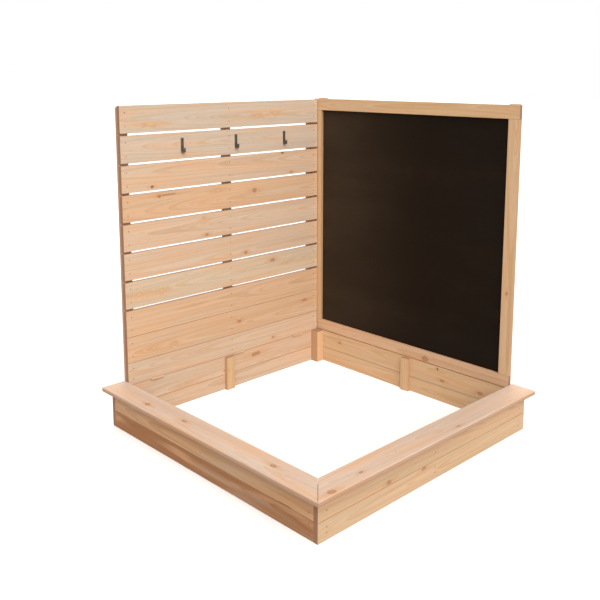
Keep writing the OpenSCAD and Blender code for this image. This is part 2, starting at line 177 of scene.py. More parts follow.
SLATS = {
    "slat_1": Plan("+y", "+x", "cream", 31, (-6, -40), (1, 22), 4.6,
                   [(0.13, 0.3, 7, 4.0, "pale"), (0.65, 0.4, 7, 1.8, "pale"), (0.75, 0.5, 7, 1.8, "pale")]),
    "slat_2": Plan("+y", "+x", "cream", 32, (10, -46), (-2, 26), 4.2),
    "slat_3": Plan("+y", "+x", "honey", 33, (24, -56), (3, 12), 4.4,
                   [(0.13, 0.14, 5, 1.2, "dark"), (0.79, 0.97, 4, 1.8, "dark"), (0.84, 0.1, 4, 1.8, "red")]),
    "slat_4": Plan("+y", "+x", "orange", 34, (-12, -50), (2, 18), 5.0,
                   [(0.16, 0.84, 5, 1.4, "dark"), (0.2, 0.86, 3.4, 9.0, "red"),
                    (0.44, 0.78, 8, 1.8, "pale"), (0.63, 0.59, 8, 1.4, "red")]),
    "slat_5": Plan("+y", "+x", "honey", 35, (8, -60), (-2, 13), 4.4,
                   [(0.37, 0.76, 7, 1.25, "pale"), (0.38, 0.15, 6, 1.4, "red")]),
    "slat_6": Plan("+y", "+x", "honey", 36, (-26, -48), (2, 12), 4.8, [(0.58, 0.2, 6, 1.4, "red")]),
    "slat_7": Plan("+y", "+x", "straw", 37, (4, -42), (2, 20), 4.2,
                   [(0.06, 0.47, 8, 1.6, "pale"), (0.16, 0.44, 8, 1.5, "pale"),
                    (0.73, 0.71, 7, 1.8, "red"), (0.80, 0.45, 6, 1.8, "pale")]),
    "slat_8": Plan("+y", "+x", "orange", 38, (18, -66), (-3, 11), 4.8),
    "slat_9": Plan("+y", "+x", "orange", 39, (-16, -54), (2, 14), 4.6,
                   [(0.21, 0.29, 6, 1.4, "pale"), (0.54, 0.49, 6, 1.4, "red"), (0.92, 0.66, 5, 2.8, "red")]),
    "slat_10": Plan("+y", "+x", "honey", 40, (12, -50), (2, 15), 4.4, [(0.73, 0.25, 4, 1.3, "red")]),
}
COVER_BATTENS = {
    "cover_batten_front": Plan("+z", "-x", "honey", 51, (10, -50), (2, 12), 3.8,
                               [(0.4, 0.4, 5, 1.5, "red")]),
    "cover_batten_middle": Plan("+z", "-x", "straw", 52, (-12, -60), (2, 10), 3.8),
    "cover_batten_back": Plan("+z", "-x", "honey", 53, (6, -54), (-2, 12), 3.8,
                              [(0.7, 0.6, 5, 1.5, "dark")]),
}
FRAME_BARS = {
    "chalk_rail_top": Plan("+x", "-y", "wheat", 61, (6, -56), (2, 10), 3.8),
    "chalk_rail_bottom": Plan("+x", "-y", "orange", 62, (-8, -56), (2, 11), 3.8,
                              [(0.625, 0.3, 9, 1.7, "red")]),
    "chalk_stile_left": Plan("+z", "-y", "amber", 63, (20, -50), (2, 10), 3.6),
    "chalk_stile_right": Plan("+z", "-y", "wheat", 64, (-14, -60), (2, 11), 3.8,
                              [(0.33, 0.5, 4, 1.5, "red")]),
    "wall_post_left": Plan("+z", "+y", "honey", 65, (10, -60), (2, 9), 3.8,
                           [(0.55, 0.5, 5, 1.4, "red")]),
    "wall_post_right": Plan("+z", "+y", "straw", 66, (-10, -60), (-2, 9), 3.8,
                            [(0.3, 0.4, 5, 1.4, "dark")]),
}


def length_prop(name, description, default):
    return FloatProperty(name=name, description=description, default=default,
                         subtype="DISTANCE", unit="LENGTH")


def angle_prop(name, description, degrees):
    return FloatProperty(name=name, description=description, default=math.radians(degrees),
                         subtype="ANGLE", unit="ROTATION")


def color_prop(name, description, default):
    return FloatVectorProperty(name=name, description=description, default=default, subtype="COLOR",
                               size=3, min=0.0, max=1.0)


def number_prop(name, description, default, low, high):
    return FloatProperty(name=name, description=description, default=default, min=low, max=high)


class SandboxWood(bpy.types.PropertyGroup):
    """Sizes and colours of the pine boards."""

    arris: length_prop("Arris", "Radius of the eased board edges", 1.1 * MM)
    bench_round: length_prop("Bench round", "Radius of the outer bench edges", 5 * MM)
    unevenness: length_prop("Unevenness", "How far a planed face wanders from flat", 0.12 * MM)
    pitch: length_prop("Pitch", "Distance between the cuts along a board", 40 * MM)
    pocket_room: length_prop("Pocket room", "Clearance round a hinge leaf in its pocket", 0.2 * MM)
    rebate_room: length_prop("Rebate room", "Clearance round the panel in its rebate", 0.5 * MM)
    ring_strength: number_prop("Ring strength", "How dark the summer wood is", 0.55, 0.0, 1.0)
    blush: color_prop("Blush", "Colour of the warm patches along the grain", (0.74, 0.44, 0.255))
    blush_strength: number_prop("Blush strength", "How strong the warm patches are", 0.62, 0.0, 1.0)
    grey: color_prop("Cool streaks", "Colour of the cool streaks along the grain", (0.66, 0.545, 0.42))
    # The cut ends are darker than end grain alone, to paint the shade that falls on them as well
    end_grain_and_shade: color_prop("End grain", "Colour of the cut board ends", (0.30, 0.145, 0.085))
    end_strength: number_prop("End grain strength", "How dark the cut board ends are", 0.85, 0.0, 1.0)
    # The narrow sides are darkened to paint the shade in the seams between boards
    seam_shade_color: color_prop("Sawn side", "Colour of the narrow sawn sides", (0.40, 0.205, 0.105))
    seam_shade_strength: number_prop("Sawn side strength", "How dark the narrow sawn sides are", 0.55, 0.0, 1.0)
    worn_color: color_prop("Worn arris", "Colour of the rubbed edges", (0.84, 0.68, 0.50))
    worn_strength: number_prop("Worn arris strength", "How far the rubbed edges show", 0.16, 0.0, 1.0)
    halo_color: color_prop("Knot halo", "Colour of the wood round a knot", (0.62, 0.33, 0.16))
    outline_color: color_prop("Knot outline", "Colour of the dark ring of a knot", (0.15, 0.065, 0.032))
    resin: color_prop("Resin", "Colour of the resin streaks", (0.36, 0.17, 0.06))


class SandboxMetal(bpy.types.PropertyGroup):
    """Colours and edges of hooks, hinges and fasteners."""

    zinc: color_prop("Zinc", "Colour of the galvanised hooks", (0.19, 0.165, 0.135))
    plating: color_prop("Plating", "Colour of the hinges and their screws", (0.80, 0.52, 0.34))
    steel: color_prop("Nail steel", "Colour of the nail heads", (0.24, 0.18, 0.13))
    screw: color_prop("Screw steel", "Colour of the screw heads", (0.084, 0.063, 0.0455))
    pin: color_prop("Pin steel", "Colour of the hinge pins", (0.528, 0.396, 0.286))
    edge: length_prop("Edge", "Bevel on the hooks", 0.35 * MM)
    fine_edge: length_prop("Fine edge", "Bevel on the hinges and pins", 0.15 * MM)
    proud: length_prop("Proud", "How far a nail head stands above the wood", 0.25 * MM)


class SandboxChalk(bpy.types.PropertyGroup):
    """Finish of the chalkboard panel."""

    paint: color_prop("Paint", "Colour of the chalkboard paint", (0.0095, 0.0055, 0.0032))
    # The dust colour also carries the painted sheen that lightens the panel towards the cover side
    dust_and_sheen_color: color_prop("Dust", "Colour where chalk was wiped", (0.047, 0.030, 0.018))
    edge: length_prop("Edge", "Radius of the panel's edges", 0.4 * MM)
    swell: length_prop("Swell", "How far the panel wanders from flat", 0.15 * MM)


class SandboxStage(bpy.types.PropertyGroup):
    """Floor, light and camera."""

    floor_size: length_prop("Floor", "Length of the floor's sides", 80.0)
    floor_color: color_prop("Floor colour", "Colour of the floor", (0.955, 0.955, 0.955))
    floor_bounce: color_prop("Floor bounce", "Colour thrown back on the wood", (0.50, 0.46, 0.42))
    floor_glow: number_prop("Floor glow", "Light that lifts the shadows on the floor", 0.10, 0.0, 1.0)
    world: number_prop("World", "Strength of the light from all round", 0.62, 0.0, 5.0)
    key: number_prop("Key", "Strength of the light on the right", 2.75, 0.0, 20.0)
    fill: number_prop("Fill", "Strength of the light in front", 0.55, 0.0, 20.0)
    back: number_prop("Back", "Strength of the light behind the two walls", 1.5, 0.0, 20.0)
    softness: angle_prop("Softness", "How wide the lights look from the object", 50)
    lens: number_prop("Lens", "Focal length, in millimetres", 48.5, 10.0, 300.0)
    shift: number_prop("Shift", "Vertical lens shift", -0.16, -1.0, 1.0)
    stand: FloatVectorProperty(name="Stand", description="Where the camera stands",
                               default=(2.2145, -2.2265, 1.4516), subtype="TRANSLATION", unit="LENGTH")
    yaw: angle_prop("Yaw", "How far the camera turns left from looking along +Y", 46.15)
    pitch: angle_prop("Pitch", "How far the camera looks up", -9.28)


class Wires:
    """Adds nodes to one shader tree and links them."""

    def __init__(self, tree):
        self.tree = tree

    def feed(self, socket, value):
        if isinstance(value, bpy.types.NodeSocket):
            self.tree.links.new(value, socket)
        elif value is not None:
            socket.default_value = value

    def add(self, kind, inputs=None, **settings):
        node = self.tree.nodes.new(kind)
        for key, value in settings.items():
            setattr(node, key, value)
        for key, value in (inputs or {}).items():
            self.feed(node.inputs[key], value)
        return node

    def math(self, operation, *values):
        node = self.add("ShaderNodeMath", operation=operation)
        for socket, value in zip(node.inputs, values):
            self.feed(socket, value)
        return node.outputs[0]

    def total(self, *values):
        result = values[0]
        for value in values[1:]:
            result = self.math("ADD", result, value)
        return result

    def ramp(self, value, low, high, start=0.0, end=1.0):
        node = self.add("ShaderNodeMapRange", interpolation_type="SMOOTHSTEP", inputs={
            "Value": value, "From Min": low, "From Max": high, "To Min": start, "To Max": end})
        return node.outputs["Result"]

    def mix(self, factor, first, second, blend="MIX"):
        node = self.add("ShaderNodeMix", data_type="RGBA", blend_type=blend)
        self.feed(node.inputs[0], factor)
        self.feed(node.inputs[6], solid(first))
        self.feed(node.inputs[7], solid(second))
        return node.outputs[2]

    def stretched(self, vector, factors):
        node = self.add("ShaderNodeVectorMath", operation="MULTIPLY")
        self.feed(node.inputs[0], vector)
        self.feed(node.inputs[1], factors)
        return node.outputs[0]

    def noise(self, vector, seed, scale, detail, roughness):
        return self.add("ShaderNodeTexNoise", noise_dimensions="4D", inputs={
            "Vector": vector, "W": seed, "Scale": scale, "Detail": detail, "Roughness": roughness})


def solid(color):
    """A colour socket takes four numbers."""
    if isinstance(color, bpy.types.NodeSocket):
        return color
    return (*color, 1.0)


def shaded(color, factor):
    """A colour made darker or brighter."""
    return tuple(c * factor for c in color)


def new_group(name, inputs, outputs):
    """A node group with named sockets, its wires, its input node and its output node."""
    tree = bpy.data.node_groups.new(name, "ShaderNodeTree")
    kinds = {"v": "NodeSocketVector", "f": "NodeSocketFloat", "c": "NodeSocketColor"}
    for label, kind in inputs:
        tree.interface.new_socket(name=label, in_out="INPUT", socket_type=kinds[kind])
    for label, kind in outputs:
        tree.interface.new_socket(name=label, in_out="OUTPUT", socket_type=kinds[kind])
    wires = Wires(tree)
    return tree, wires, wires.add("NodeGroupInput").outputs, wires.add("NodeGroupOutput").inputs


def growth_rings():
    """Rings round a pith that leans along the board, pale spring wood turning to dark summer wood."""
    tree, w, given, result = new_group(
        "growth_rings",
        [("Vector", "v"), ("Pith Y", "f"), ("Pith Z", "f"), ("Lean Y", "f"), ("Lean Z", "f"),
         ("Ring", "f"), ("Seed", "f"), ("Push", "f")],
        [("Late", "f")],
    )
    bend = w.noise(w.stretched(given["Vector"], GRAIN["sway"]), given["Seed"], 1.0, 2.0, 0.4)
    parts = w.add("ShaderNodeSeparateXYZ", {"Vector": given["Vector"]}).outputs
    sway = w.add("ShaderNodeSeparateColor", {"Color": bend.outputs["Color"]}).outputs
    across = []
    for part, pith, lean, drift in (("Y", "Pith Y", "Lean Y", 0), ("Z", "Pith Z", "Lean Z", 1)):
        offset = w.math("SUBTRACT", parts[part], given[pith])
        offset = w.math("SUBTRACT", offset, w.math("MULTIPLY", parts["X"], given[lean]))
        offset = w.total(offset, w.math("MULTIPLY_ADD", sway[drift], 0.026, -0.013))
        across.append(w.math("POWER", offset, 2.0))
    radius = w.total(w.math("SQRT", w.total(*across)), given["Push"])
    count = w.math("DIVIDE", radius, given["Ring"])
    spread = w.math("MULTIPLY_ADD", count, 0.45, given["Seed"])
    uneven = w.add("ShaderNodeTexNoise", {"W": spread, "Detail": 1.0}, noise_dimensions="1D").outputs[0]
    count = w.total(count, w.math("MULTIPLY", uneven, 1.6))
    share = w.math("FRACT", count)
    year = w.add("ShaderNodeTexWhiteNoise", {"W": w.math("FLOOR", count)}, noise_dimensions="1D").outputs[0]
    late = w.math("SUBTRACT", w.ramp(share, 0.25, 0.86), w.ramp(share, 0.90, 1.0))
    w.feed(result["Late"], w.math("MULTIPLY", late, w.math("MULTIPLY_ADD", year, 0.55, 0.45)))
    return tree


def wood_fibre():
    """Long thin fibres, broader streaks, short resin ticks, and large warm and cool patches."""
    tree, w, given, result = new_group(
        "wood_fibre", [("Vector", "v"), ("Seed", "f")],
        [("Fibre", "f"), ("Streak", "f"), ("Tick", "f"), ("Patch", "f"), ("Cool", "f")],
    )
    seed = given["Seed"]
    vector = given["Vector"]
    w.feed(result["Fibre"], w.noise(w.stretched(vector, GRAIN["fibre"]), seed, 1.0, 3.0, 0.6).outputs[0])
    w.feed(result["Streak"], w.noise(w.stretched(vector, GRAIN["streak"]), seed, 1.0, 3.0, 0.5).outputs[0])
    ticks = w.noise(w.stretched(vector, GRAIN["tick"]), seed, 1.0, 0.0, 0.5).outputs[0]
    w.feed(result["Tick"], w.ramp(ticks, 0.70, 0.80))
    w.feed(result["Patch"], w.noise(w.stretched(vector, GRAIN["patch"]), seed, 1.0, 2.5, 0.5).outputs[0])
    cool = w.noise(w.stretched(vector, GRAIN["cool"]), w.math("ADD", seed, 50.0), 1.0, 2.0, 0.5)
    w.feed(result["Cool"], cool.outputs[0])
    return tree


def board_knot():
    """One knot through the board: how far it pushes the rings, its heart, outline, halo and whorls."""
    tree, w, given, result = new_group(
        "board_knot",
        [("Vector", "v"), ("Along", "f"), ("Across", "f"), ("Radius", "f"), ("Stretch", "f"), ("Seed", "f")],
        [("Push", "f"), ("Heart", "f"), ("Outline", "f"), ("Halo", "f"), ("Whorl", "f")],
    )
    parts = w.add("ShaderNodeSeparateXYZ", {"Vector": given["Vector"]}).outputs
    along = w.math("DIVIDE", w.math("SUBTRACT", parts["X"], given["Along"]), given["Stretch"])
    across = w.math("SUBTRACT", parts["Y"], given["Across"])
    away = w.math("SQRT", w.total(w.math("POWER", along, 2.0), w.math("POWER", across, 2.0)))
    away = w.math("DIVIDE", away, given["Radius"])
    rough = w.noise(given["Vector"], given["Seed"], 75.0, 2.0, 0.5).outputs[0]
    away = w.total(away, w.math("MULTIPLY_ADD", rough, 1.3, -0.65))
    drawn = w.math("MULTIPLY", along, 0.42)
    drawn = w.math("SQRT", w.total(w.math("POWER", drawn, 2.0), w.math("POWER", across, 2.0)))
    drawn = w.total(w.math("DIVIDE", drawn, given["Radius"]), w.math("MULTIPLY_ADD", rough, 1.8, -0.9))
    push = w.math("MULTIPLY", given["Radius"], 1.1)
    w.feed(result["Push"], w.math("MULTIPLY", w.ramp(away, 0.3, 3.6, 1.0, 0.0), push))
    w.feed(result["Heart"], w.ramp(away, 0.62, 1.12, 1.0, 0.0))
    w.feed(result["Outline"], w.math("MULTIPLY", w.ramp(away, 0.62, 0.95), w.ramp(away, 1.0, 1.4, 1.0, 0.0)))
    w.feed(result["Halo"], w.ramp(drawn, 0.7, 2.6, 1.0, 0.0))
    w.feed(result["Whorl"], w.math("FRACT", w.math("MULTIPLY", away, 4.2)))
    return tree


def board_edges():
    """Masks for a board's rubbed arrises, cut ends and narrow sides, from half its size. The side mask
    carries painted seam shade, and the end mask partly painted shade.
    """
    tree, w, given, result = new_group(
        "board_edges", [("Vector", "v"), ("Half", "v"), ("Seed", "f")],
        [("Arris", "f"), ("End", "f"), ("Side", "f")])
    size = w.add("ShaderNodeSeparateXYZ", {"Vector": given["Half"]}).outputs
    place = w.add("ShaderNodeSeparateXYZ", {"Vector": given["Vector"]}).outputs
    gaps = [w.math("SUBTRACT", size[a], w.math("ABSOLUTE", place[a])) for a in ("X", "Y", "Z")]
    pairs = [w.total(gaps[0], gaps[1]), w.total(gaps[0], gaps[2]), w.total(gaps[1], gaps[2])]
    near = w.math("MINIMUM", w.math("MINIMUM", pairs[0], pairs[1]), pairs[2])
    chafe = w.noise(given["Vector"], given["Seed"], 120.0, 3.0, 0.6).outputs[0]
    near = w.total(near, w.math("MULTIPLY_ADD", chafe, 0.004, -0.002))
    w.feed(result["Arris"], w.ramp(near, 0.0004, 0.0026, 1.0, 0.0))
    w.feed(result["End"], w.ramp(gaps[0], 0.0004, 0.0012, 1.0, 0.0))
    w.feed(result["Side"], w.ramp(gaps[1], 0.0004, 0.0018, 1.0, 0.0))
    return tree


def metal_skin():
    """Cloudy plating, fine rubbing marks and darker corrosion specks."""
    tree, w, given, result = new_group(
        "metal_skin", [("Vector", "v"), ("Seed", "f")], [("Cloud", "f"), ("Rub", "f"), ("Speck", "f")])
    w.feed(result["Cloud"], w.noise(given["Vector"], given["Seed"], 160.0, 3.0, 0.6).outputs[0])
    rub = w.stretched(given["Vector"], (500.0, 500.0, 3200.0))
    w.feed(result["Rub"], w.noise(rub, given["Seed"], 1.0, 2.0, 0.5).outputs[0])
    specks = w.noise(given["Vector"], given["Seed"], 900.0, 1.0, 0.5).outputs[0]
    w.feed(result["Speck"], w.ramp(specks, 0.66, 0.76))
    return tree


def group(name):
    """A node group, made the first time that it is asked for."""
    makers = {"growth_rings": growth_rings, "wood_fibre": wood_fibre, "board_knot": board_knot,
              "board_edges": board_edges, "metal_skin": metal_skin}
    return bpy.data.node_groups.get(name) or makers[name]()


def placed(w, name, inputs):
    """The outputs of a node group placed in a material."""
    node = w.add("ShaderNodeGroup", node_tree=group(name))
    for key, value in inputs.items():
        w.feed(node.inputs[key], value)
    return node.outputs


def new_material(name):
    """An empty material with its wires and its surface shader."""
    material = bpy.data.materials.new(name)
    material.use_nodes = True
    tree = material.node_tree
    tree.nodes.clear()
    w = Wires(tree)
    shader = w.add("ShaderNodeBsdfPrincipled")
    output = w.add("ShaderNodeOutputMaterial")
    tree.links.new(shader.outputs[0], output.inputs["Surface"])
    return material, w, shader.inputs, w.add("ShaderNodeTexCoord").outputs["Object"]


def pine(name, plan, half, wood):
    """Planed pine for one board, in the board's own directions."""
    material, w, shader, place = new_material("pine_" + name)
    seed = float(plan.seed)
    early, late_color = TONES[plan.tone]
    knots = []
    for number, (along, up, radius, stretch, kind) in enumerate(plan.knots):
        knots.append((placed(w, "board_knot", {
            "Vector": place, "Along": (2 * along - 1) * half.x, "Across": (2 * up - 1) * half.y,
            "Radius": radius * MM, "Stretch": stretch, "Seed": seed + 0.37 * number,
        }), kind))
    push = w.total(*[k["Push"] for k, _ in knots]) if knots else 0.0
    rings = placed(w, "growth_rings", {
        "Vector": place, "Pith Y": plan.pith[0] * MM, "Pith Z": plan.pith[1] * MM,
        "Lean Y": plan.lean[0] * MM, "Lean Z": plan.lean[1] * MM,
        "Ring": plan.ring * MM, "Seed": seed, "Push": push,
    })
    fibre = placed(w, "wood_fibre", {"Vector": place, "Seed": seed})
    edges = placed(w, "board_edges", {"Vector": place, "Half": half, "Seed": seed})

    warm = w.math("MULTIPLY", w.ramp(fibre["Patch"], 0.46, 0.66), wood.blush_strength)
    color = w.mix(warm, w.mix(w.ramp(fibre["Cool"], 0.48, 0.72, 0.0, 0.45), early, wood.grey), wood.blush)
    color = w.mix(w.math("MULTIPLY", rings["Late"], wood.ring_strength), color, late_color)
    shade = w.total(w.math("MULTIPLY_ADD", fibre["Fibre"], 0.22, -0.11),
                    w.math("MULTIPLY_ADD", fibre["Streak"], 0.30, 0.85))
    color = w.mix(1.0, color, shade, "MULTIPLY")
    color = w.mix(w.math("MULTIPLY", fibre["Tick"], 0.30), color, wood.resin)
    for knot, kind in knots:
        heart, depth, outline, halo = KNOTS[kind]
        color = w.mix(w.math("MULTIPLY", knot["Halo"], halo), color, wood.halo_color)
        whorl = w.mix(w.math("MULTIPLY", knot["Whorl"], 0.5), heart, shaded(heart, 1.6))
        color = w.mix(w.math("MULTIPLY", knot["Heart"], depth), color, whorl)
        color = w.mix(w.math("MULTIPLY", knot["Outline"], outline), color, wood.outline_color)
    color = w.mix(w.math("MULTIPLY", edges["Arris"], wood.worn_strength), color, wood.worn_color)
    # Painted seam shade on the narrow sides of the board
    color = w.mix(w.math("MULTIPLY", edges["Side"], wood.seam_shade_strength), color, wood.seam_shade_color)
    # Darker cut ends: end grain, with painted shade on top
    color = w.mix(w.math("MULTIPLY", edges["End"], wood.end_strength), color, wood.end_grain_and_shade)
    w.feed(shader["Base Color"], color)

    rough = w.total(w.math("MULTIPLY_ADD", rings["Late"], -0.10, 0.60),
                    w.math("MULTIPLY", fibre["Fibre"], 0.10), w.math("MULTIPLY", edges["End"], 0.15))
    w.feed(shader["Roughness"], rough)
    height = w.total(w.math("MULTIPLY", rings["Late"], 0.5), w.math("MULTIPLY", fibre["Fibre"], 0.6),
                     w.math("MULTIPLY", fibre["Tick"], -0.4))
    for knot, _ in knots:
        height = w.total(height, w.math("MULTIPLY", knot["Outline"], -0.6))
    bump = w.add("ShaderNodeBump", {"Strength": 0.35, "Distance": 0.3 * MM, "Height": height})
    w.feed(shader["Normal"], bump.outputs["Normal"])
    shader["Specular IOR Level"].default_value = 0.3
    return material


def metal(name, color, rough, seed, metallic=1.0):
    """Plated or bare steel with clouds, rubbing marks and specks."""
    material, w, shader, place = new_material(name)
    skin = placed(w, "metal_skin", {"Vector": place, "Seed": seed})
    pale = tuple(min(1.0, c) for c in shaded(color, 1.35))
    tint = w.mix(skin["Cloud"], shaded(color, 0.7), pale)
    specks = w.math("MULTIPLY", skin["Speck"], 0.6)
    w.feed(shader["Base Color"], w.mix(specks, tint, shaded(color, 0.35)))
    w.feed(shader["Roughness"], w.math("MULTIPLY_ADD", skin["Cloud"], 0.25, rough - 0.12))
    height = w.total(w.math("MULTIPLY", skin["Rub"], 0.5), w.math("MULTIPLY", skin["Speck"], -0.7))
    bump = w.add("ShaderNodeBump", {"Strength": 0.3, "Distance": 0.1 * MM, "Height": height})
    w.feed(shader["Normal"], bump.outputs["Normal"])
    shader["Metallic"].default_value = metallic
    return material


def chalk_paint(chalk):
    """Satin brown-black board paint with a fine roller grain and wiped chalk all over, and a painted sheen
    that lightens it towards the cover.
    """
    material, w, shader, place = new_material("chalk_paint")
    wipe = w.noise(w.stretched(place, (1.6, 6.0, 6.0)), 7.0, 1.0, 4.0, 0.62).outputs[0]
    arcs = w.noise(w.stretched(place, (9.0, 3.0, 3.0)), 8.0, 1.0, 3.0, 0.55).outputs[0]
    grain = w.noise(place, 9.0, 900.0, 2.0, 0.6).outputs[0]
    dust_and_sheen = w.math("MULTIPLY", w.ramp(wipe, 0.45, 0.8), w.ramp(arcs, 0.4, 0.75, 0.35, 1.0))
    across = w.add("ShaderNodeSeparateXYZ", {"Vector": place}).outputs["X"]
    # Painted sheen: the paint turns lighter towards the cover side, standing in for a reflection, broken up
    # by the wipe noise
    sheen_side = w.ramp(across, -0.58, 0.15, 0.75, 0.0)
    painted_sheen = w.math("MULTIPLY", sheen_side, w.ramp(wipe, 0.1, 0.75, 0.55, 1.15))
    # The chalk dust and the painted sheen are summed into one mix towards the dust colour
    dust_and_sheen = w.total(w.math("MULTIPLY", dust_and_sheen, 0.25), painted_sheen, w.math("MULTIPLY_ADD", grain, 0.16, -0.04))
    w.feed(shader["Base Color"], w.mix(dust_and_sheen, chalk.paint, chalk.dust_and_sheen_color))
    matt = w.math("MULTIPLY", dust_and_sheen, 0.22)
    w.feed(shader["Roughness"], w.total(matt, w.math("MULTIPLY_ADD", grain, 0.08, 0.36)))
    bump = w.add("ShaderNodeBump", {"Strength": 0.25, "Distance": 0.08 * MM, "Height": grain})
    w.feed(shader["Normal"], bump.outputs["Normal"])
    shader["Specular IOR Level"].default_value = 0.10
    return material


def lie(node, plan):
    """The matrix and half size of a board with X along the grain and Z out of the show face."""
    low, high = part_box(node)
    up = plan.face.cross(plan.along)
    turn = Matrix((plan.along, up, plan.face)).transposed()
    size = high - low
    half = Vector([abs(axis.dot(size)) / 2 for axis in (plan.along, up, plan.face)])
    return Matrix.Translation((low + high) / 2) @ turn.to_4x4(), half


def section(half_y, half_z, rounds, inset):
    """Points round a board's section. rounds are the corner radii, from low Y low Z, anticlockwise."""
    points = []
    corners = [(-1, -1, 180), (1, -1, 270), (1, 1, 0), (-1, 1, 90)]
    for (side_y, side_z, start), radius in zip(corners, rounds):
        r = max(radius - inset, LEAST_ROUND)
        y = side_y * (half_y - inset - r)
        z = side_z * (half_z - inset - r)
        for step in range(ROUND_STEPS + 1):
            angle = math.radians(start + 90 * step / ROUND_STEPS)
            points.append((y + r * math.cos(angle), z + r * math.sin(angle)))
    return points


def wavering(point, seed, amount):
    """How far a face wanders at a point: a slow bow from drying and quicker planing marks."""
    bow = noise.noise(Vector((point.x * 2.3, point.z * 9, seed * 3.1)))
    marks = noise.noise(Vector((point.x * 8.1, point.y * 12, seed * 1.7 + 40)))
    return Vector((0, amount * (bow + 0.4 * marks), amount * (marks * 0.6 - 0.5 * bow)))


def board_rows(half, wood, mitre):
    """Where a board's section is set: the place along it, the inset, and whether it is at the mitre."""
    arris = wood.arris
    tail = 2 * half.y + MITRE_RUN if mitre else 0.0
    first = -half.x + arris + (tail if mitre < 0 else 0.0)
    last = half.x - arris - (tail if mitre > 0 else 0.0)
    count = max(2, round((last - first) / wood.pitch))
    cuts = range(0 if mitre < 0 else 1, count + (mitre > 0))
    rows = [(-half.x + arris * back, arris * inset, mitre < 0) for inset, back in EASED_END]
    rows += [(first + (last - first) * n / count, 0.0, False) for n in cuts]
    rows += [(half.x - arris * back, arris * inset, mitre > 0) for inset, back in reversed(EASED_END)]
    return rows


def board_piece(node, plan, body, wood, rounds=None, mitre=0):
    """Lofts one board with eased edges and ends where the frame has it.

    mitre is 1 for a mitre at its far end and -1 for one at its near end."""
    matrix, half = lie(node, plan)
    rounds = rounds or [wood.arris] * 4
    bm = bmesh.new()
    rings = []
    for x, inset, at_mitre in board_rows(half, wood, mitre):
        ring = []
        for y, z in section(half.y, half.z, rounds, inset):
            point = Vector((x, y, z))
            point += wavering(point, plan.seed, wood.unevenness)
            if at_mitre:
                point.x -= mitre * (y + half.y + MITRE_ROOM)
            ring.append(bm.verts.new(point))
        rings.append(ring)
    sides = len(rings[0])
    for here, there in zip(rings, rings[1:]):
        for n in range(sides):
            bm.faces.new((here[n], here[(n + 1) % sides], there[(n + 1) % sides], there[n]))
    bm.faces.new(rings[-1])
    bm.faces.new(list(reversed(rings[0])))
    bmesh.ops.recalc_face_normals(bm, faces=bm.faces)
    piece = mesh_piece(node + "_pine", bm)
    piece.matrix_world = matrix
    piece.data.materials.append(pine(node, plan, half, wood))
    finish_piece(piece, body, node)
    return piece


def mesh_piece(name, bm):
    """An object in the scene from a finished bmesh, with its sharp edges marked."""
    mesh = bpy.data.meshes.new(name)
    bm.to_mesh(mesh)
    bm.free()
    mesh.shade_smooth()
    mesh.set_sharp_from_angle(angle=SHARP_ANGLE)
    piece = bpy.data.objects.new(name, mesh)
    bpy.context.scene.collection.objects.link(piece)
    return piece


def finish_piece(piece, body, node):
    """Rides on its body, stands for its CAD node, and keeps its flats flat in the shading."""
    weighted = piece.modifiers.new("flats", "WEIGHTED_NORMAL")
    weighted.keep_sharp = True
    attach(piece, body)
    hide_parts(node)


def cut_away(piece, boxes):
    """Takes boxes, given by their lowest and highest corners, out of a piece for good."""
    bm = bmesh.new()
    for low, high in boxes:
        made = bmesh.ops.create_cube(bm, size=1.0)
        bmesh.ops.scale(bm, vec=high - low, verts=made["verts"])
        bmesh.ops.translate(bm, vec=(low + high) / 2, verts=made["verts"])
    cutter = mesh_piece("cutter", bm)
    carve(piece, cutter)


def carve(piece, cutter):
    """Takes the cutter's shape out of a piece for good, and throws the cutter away."""
    cut = piece.modifiers.new("cut", "BOOLEAN")
    cut.operation = "DIFFERENCE"
    cut.solver = "EXACT"
    cut.object = cutter
    others = [m for m in piece.modifiers if m != cut]
    for modifier in others:
        modifier.show_viewport = False
    bpy.context.view_layer.update()
    shaped = piece.evaluated_get(bpy.context.evaluated_depsgraph_get())
    mesh = bpy.data.meshes.new_from_object(shaped)
    if not mesh.polygons:
        raise RuntimeError(f"cutting {piece.name} left nothing")
    piece.modifiers.remove(cut)
    for modifier in others:
        modifier.show_viewport = True
    mesh.name = piece.data.name
    piece.data = mesh
    mesh.set_sharp_from_angle(angle=SHARP_ANGLE)
    bpy.data.objects.remove(cutter)


def grown(node, room):
    """A CAD node's box with some room all round."""
    low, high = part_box(node)
    return low - Vector((room,) * 3), high + Vector((room,) * 3)


def loose_parts(node):
    """The separate solids of a CAD node: a list of lists of points."""
    bm = bmesh.new()
    bm.from_mesh(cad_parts[node].data)
    bmesh.ops.remove_doubles(bm, verts=bm.verts, dist=WELD)
    left = set(bm.verts)
    parts = []
    while left:
        stack = [left.pop()]
        part = []
        while stack:
            vert = stack.pop()
            part.append(vert.co.copy())
            for edge in vert.link_edges:
                other = edge.other_vert(vert)
                if other in left:
                    left.remove(other)
                    stack.append(other)
        parts.append(part)
    bm.free()
    return sorted(parts, key=lambda p: tuple(round(c, 4) for c in sum(p, Vector()) / len(p)))


def measure_fastener(points):
    """Head centre, direction into the wood, length, head radius and shank radius of a nail or screw."""
    low = Vector([min(p[i] for p in points) for i in range(3)])
    high = Vector([max(p[i] for p in points) for i in range(3)])
    size = high - low
    axis = max(range(3), key=lambda i: size[i])
    middle = (low + high) / 2
    reach = 0.3 * MM

    def radius_at(end):
        near = [p for p in points if abs(p[axis] - end) < reach]
        return max(math.sqrt(sum((p[i] - middle[i]) ** 2 for i in range(3) if i != axis)) for p in near)

    first, last = radius_at(low[axis]), radius_at(high[axis])
    head_end = low[axis] if first > last else high[axis]
    head = middle.copy()
    head[axis] = head_end
    into = Vector((0, 0, 0))
    into[axis] = 1.0 if first > last else -1.0
    return head, into, size[axis], max(first, last), min(first, last)


